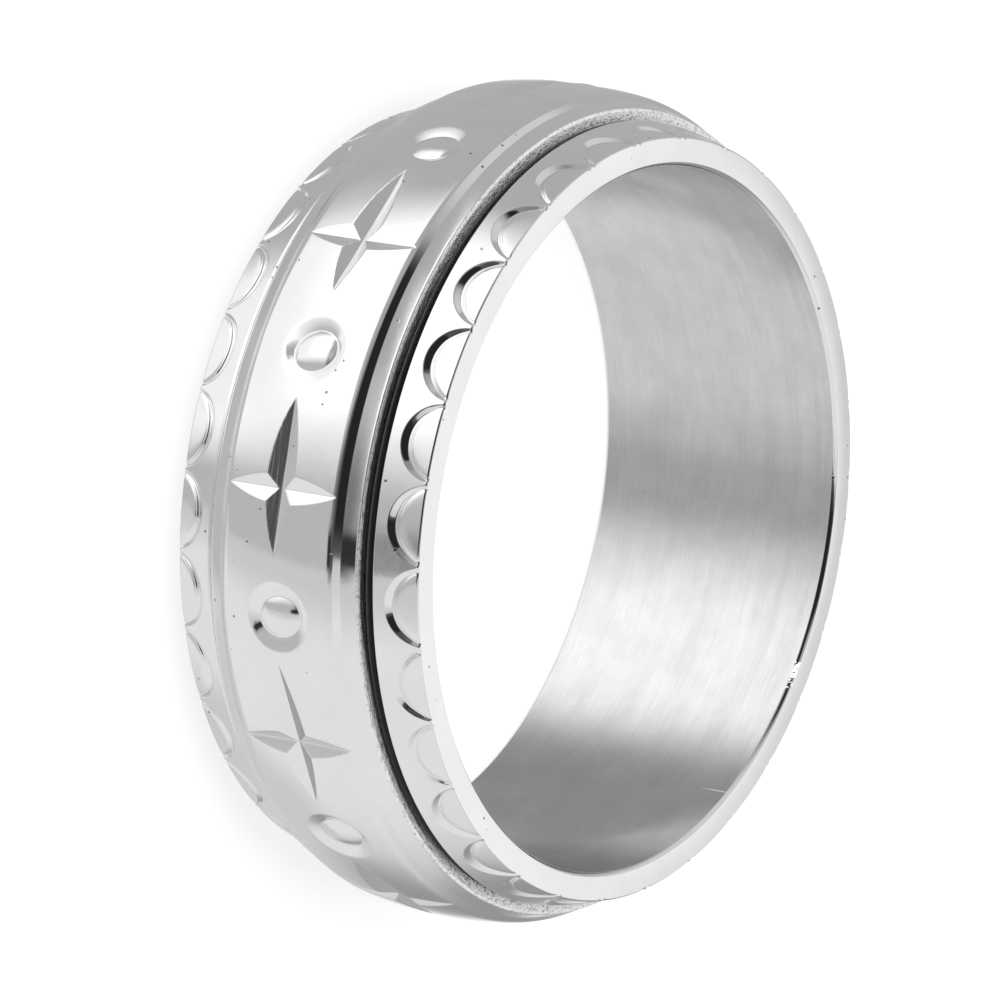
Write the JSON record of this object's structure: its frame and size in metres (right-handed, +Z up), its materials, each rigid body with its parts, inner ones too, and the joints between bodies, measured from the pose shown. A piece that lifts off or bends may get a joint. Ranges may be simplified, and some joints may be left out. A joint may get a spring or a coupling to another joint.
{
  "type": "spinner ring",
  "caption": "Steel finger ring with flared, half-moon edges and a free-turning middle band cut with four-pointed stars and ringed dots.",
  "frame": {"origin": "centre of the lower end face, on the axis of the finger hole, where the ring rests lying on its side", "axes": "+Z up along the finger hole; -Y is the front, the side of the ring that faces the picture's camera"},
  "size_m": [0.0236, 0.0236, 0.008],
  "materials": {
    "band_steel": "mirror polished outside, brushed around the inside of the finger hole",
    "spinner_steel": "mirror polished, with fine cutter lines in the stars"
  },
  "bodies": {
    "band": {"inner_band": "band_steel"},
    "spinner": {"spinner_band": "spinner_steel"}
  },
  "joints": [
    {"name": "spin", "type": "hinge", "parent": "band", "child": "spinner", "pos_m": [0, 0, 0.004], "axis": [0, 0, 1], "continuous": true}
  ]
}
